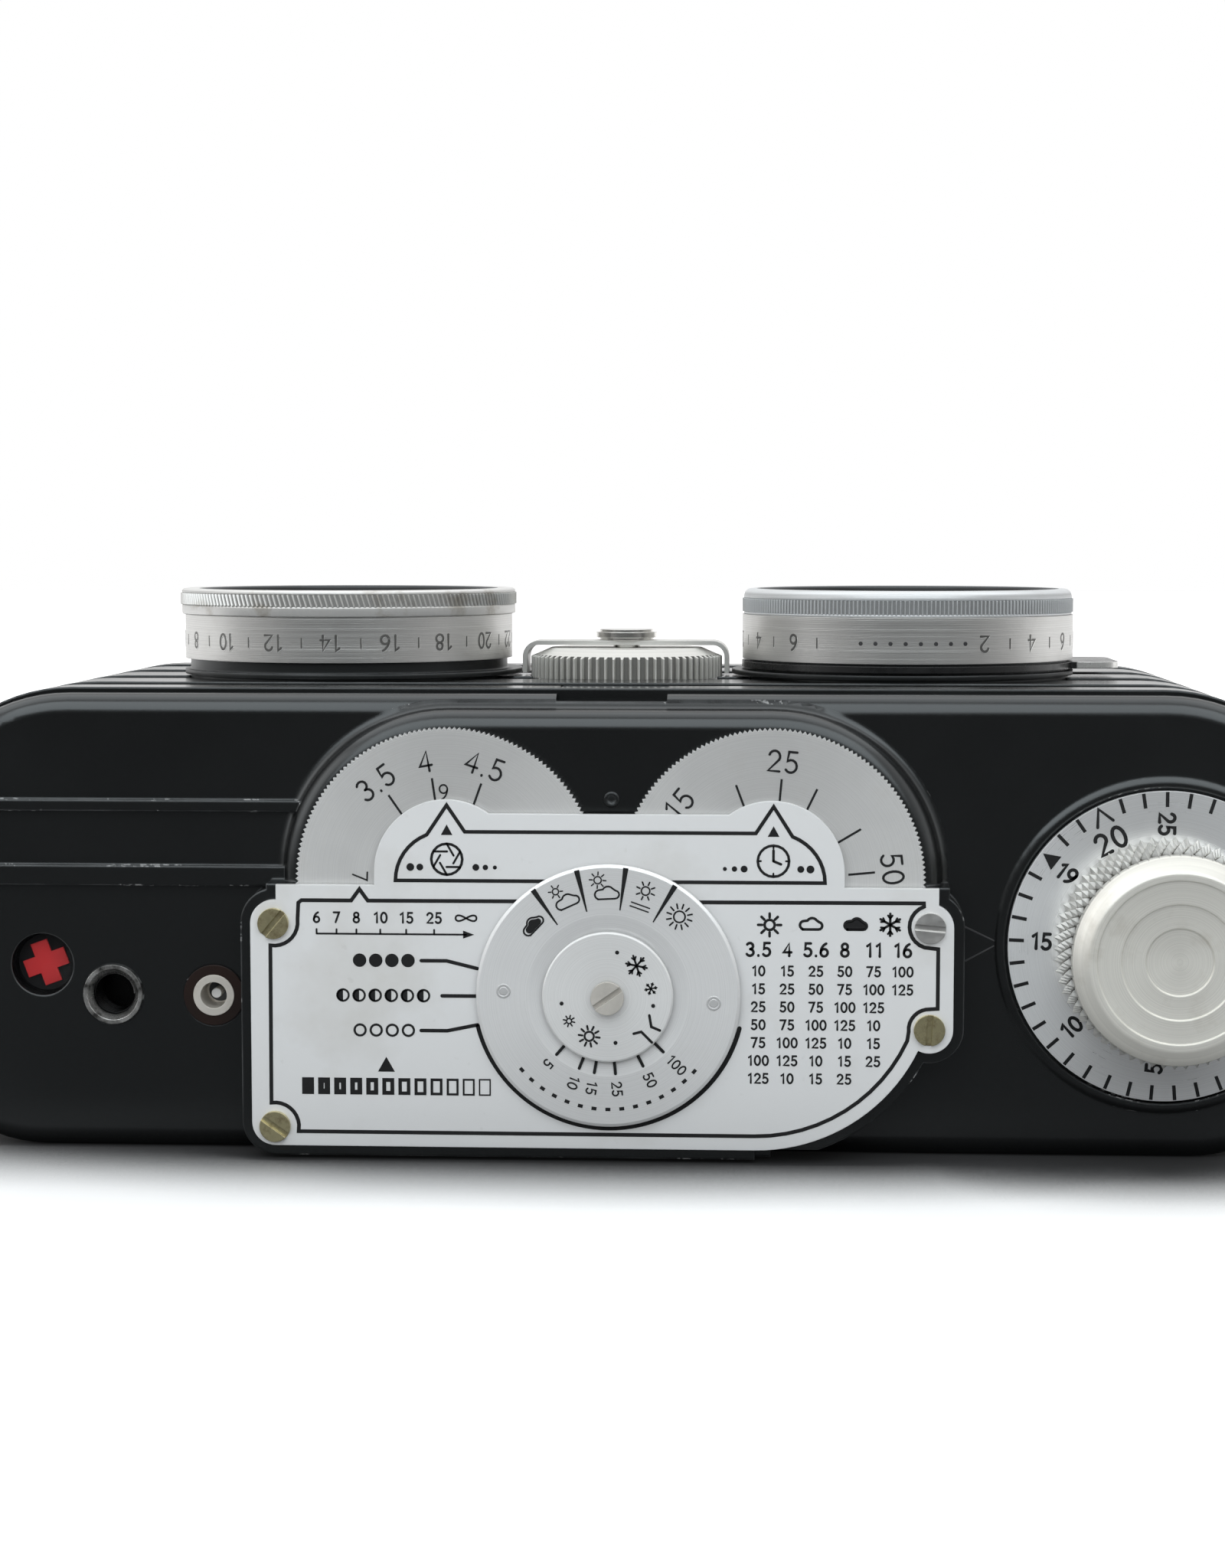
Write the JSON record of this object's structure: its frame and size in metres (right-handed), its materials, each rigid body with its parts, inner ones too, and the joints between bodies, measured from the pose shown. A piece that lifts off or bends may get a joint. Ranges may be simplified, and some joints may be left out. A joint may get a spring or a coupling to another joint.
{
  "type": "stereo camera",
  "caption": "Black-and-nickel stereo film camera with paired lens tubes, toothed dials under an exposure calculator plate, a thumbwheel, a winding knob and a hinged back, lying on its back.",
  "frame": {"origin": "middle of the outer box on the floor plane that the back lies on", "axes": "+X along the body to the knob's end, +Y from the dial face to the base, +Z out of the lenses"},
  "size_m": [0.147, 0.0748, 0.0569],
  "materials": {
    "enamel": "black stoved enamel on die-cast and pressed alloy, satin",
    "satin_plate": "satin alloy with printed black figures",
    "nickel": "dull nickel plate on brass",
    "brass": "plain turned brass",
    "steel": "bright turned steel",
    "black_plastic": "black moulding",
    "black_alloy": "matt black",
    "insulator": "brown moulding",
    "contact": "dull plated contact",
    "red_enamel": "red enamel",
    "glass": "clear polished"
  },
  "bodies": {
    "body": {"main_body": "enamel", "gear_plate": "enamel", "floor_plate": "enamel", "top_cover": "enamel", "base_cover": "enamel", "front_cover": "enamel", "exposure_plate": "satin_plate", "plate_screws": "brass", "calculator_screw": "nickel", "indicator_window": "glass", "cable_release_bush": "steel", "flash_insulator": "insulator", "flash_ring": "contact", "flash_pin": "steel", "lens_tube_left": "enamel", "lens_tube_right": "enamel", "lens_ring_left": "nickel", "lens_ring_right": "nickel", "retaining_ring_left": "nickel", "retaining_ring_right": "nickel", "wheel_bridge": "nickel", "bridge_cap": "nickel", "guide_rods": "steel", "finder_front_lens": "glass", "finder_tube": "black_alloy", "hinge_pin": "steel", "tripod_bush": "brass", "base_screws": "steel", "idler_pin": "steel"},
    "opening_dial": {"lens_opening_dial": "satin_plate", "lens_opening_cam": "brass"},
    "speed_dial": {"shutter_speed_dial": "satin_plate", "shutter_speed_cam": "brass"},
    "calculator": {"calculator_disc": "satin_plate"},
    "season": {"season_disc": "satin_plate"},
    "counter": {"counter_dial": "satin_plate", "counter_gear": "brass"},
    "winder": {"film_knob": "nickel", "knob_shaft": "steel", "take_up_spool": "black_plastic"},
    "idler": {"idler_gear": "brass"},
    "supply": {"supply_spindle": "steel", "indicator_cross": "red_enamel"},
    "sprocket": {"sprocket_drum": "steel"},
    "lens_slide": {"lens_board": "black_alloy", "lens_cell_left": "black_alloy", "lens_cell_right": "black_alloy", "lens_glass_left": "glass", "lens_glass_right": "glass"},
    "wheel": {"thumbwheel": "nickel", "wheel_pinion": "brass"},
    "lever": {"release_lever": "enamel"},
    "shutter": {"shutter_blade": "black_alloy"},
    "door": {"rear_door": "enamel", "pressure_plates": "steel", "pressure_springs": "brass", "eyepiece": "steel", "eyepiece_glass": "glass"},
    "lock": {"door_lock": "steel"}
  },
  "joints": [
    {"name": "opening_dial_turn", "type": "hinge", "parent": "body", "child": "opening_dial", "pos_m": [-0.0162, -0.0258, 0.0284], "axis": [0, -1, 0], "range_deg": [-36, 200]},
    {"name": "speed_dial_turn", "type": "hinge", "parent": "body", "child": "speed_dial", "pos_m": [0.0162, -0.0258, 0.0284], "axis": [0, -1, 0], "range_deg": [-120, 160]},
    {"name": "calculator_turn", "type": "hinge", "parent": "body", "child": "calculator", "pos_m": [0, -0.0258, 0.01705], "axis": [0, -1, 0], "range_deg": [-170, 170]},
    {"name": "season_turn", "type": "hinge", "parent": "body", "child": "season", "pos_m": [0, -0.0258, 0.01705], "axis": [0, -1, 0], "range_deg": [-120, 120]},
    {"name": "knob_turn", "type": "hinge", "parent": "body", "child": "winder", "pos_m": [0.0555, -0.0258, 0.02165], "axis": [0, -1, 0], "continuous": true},
    {"name": "counter_turn", "type": "hinge", "parent": "body", "child": "counter", "pos_m": [0.0555, -0.0258, 0.02165], "axis": [0, -1, 0], "continuous": true},
    {"name": "idler_turn", "type": "hinge", "parent": "body", "child": "idler", "pos_m": [0.0405, -0.0258, 0.02165], "axis": [0, -1, 0], "continuous": true},
    {"name": "supply_turn", "type": "hinge", "parent": "body", "child": "supply", "pos_m": [-0.0583, -0.0258, 0.0189], "axis": [0, -1, 0], "continuous": true},
    {"name": "sprocket_turn", "type": "hinge", "parent": "body", "child": "sprocket", "pos_m": [0, 0.0058, 0.01245], "axis": [0, -1, 0], "continuous": true},
    {"name": "lens_shift", "type": "slide", "parent": "body", "child": "lens_slide", "axis": [0, 1, 0], "range_m": [0, 0.012]},
    {"name": "thumbwheel_turn", "type": "hinge", "parent": "body", "child": "wheel", "pos_m": [0, 0.0058, 0.0485], "axis": [0, 0, 1], "range_deg": [0, 180]},
    {"name": "release_press", "type": "hinge", "parent": "body", "child": "lever", "pos_m": [0.031, 0.0058, 0.0486], "axis": [0, 0, 1], "range_deg": [0, 18], "stiffness_Nm_per_rad": 0.02, "springref_deg": -8.59},
    {"name": "shutter_run", "type": "slide", "parent": "body", "child": "shutter", "axis": [-1, 0, 0], "range_m": [0, 0.012], "stiffness_N_per_m": 20, "springref_m": -0.002},
    {"name": "door_swing", "type": "hinge", "parent": "body", "child": "door", "pos_m": [-0.0698, 0.0058, 0.00709], "axis": [0, 1, 0], "range_deg": [0, 110]},
    {"name": "lock_slide", "type": "slide", "parent": "body", "child": "lock", "axis": [0, -1, 0], "range_m": [0, 0.005]}
  ],
  "couplings": [
    {"joint": "counter_turn", "follows": "knob_turn", "ratio": 0.025},
    {"joint": "idler_turn", "follows": "knob_turn", "ratio": -0.2},
    {"joint": "sprocket_turn", "follows": "knob_turn", "ratio": 1},
    {"joint": "supply_turn", "follows": "knob_turn", "ratio": 1},
    {"joint": "thumbwheel_turn", "follows": "lens_shift", "rad_per_m": 261.8}
  ]
}
